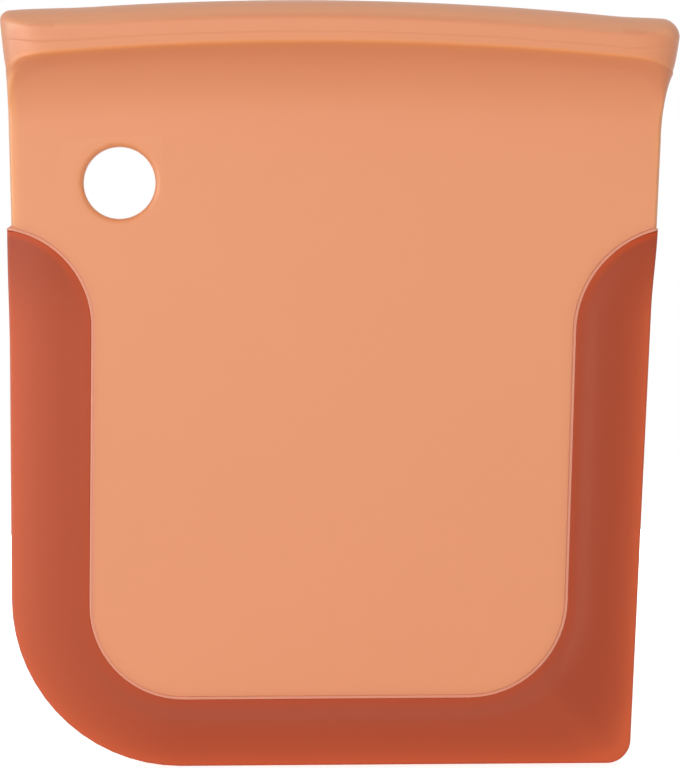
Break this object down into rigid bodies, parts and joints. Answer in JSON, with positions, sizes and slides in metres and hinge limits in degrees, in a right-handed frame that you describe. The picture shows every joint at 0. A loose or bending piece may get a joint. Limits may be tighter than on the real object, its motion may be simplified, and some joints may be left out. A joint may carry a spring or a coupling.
{
  "type": "dough scraper",
  "caption": "Flat hand scraper with a domed grip along its top, a hanging hole, and a soft scraping edge moulded round the sides and bottom of a rigid plate.",
  "frame": {"origin": "middle of the scraping edge, halfway through the thickness, under the middle of the grip", "axes": "+Z from the scraping edge up to the grip, +X to the right as the front is seen, with the large round corner on the -X side; -Y is the front face and +Y the back face"},
  "size_m": [0.12, 0.014, 0.1352],
  "materials": {
    "rigid_plastic": "fine matte",
    "soft_elastomer": "satin"
  },
  "bodies": {
    "root": {"scraper_body": "rigid_plastic", "soft_edge": "soft_elastomer"}
  },
  "joints": []
}
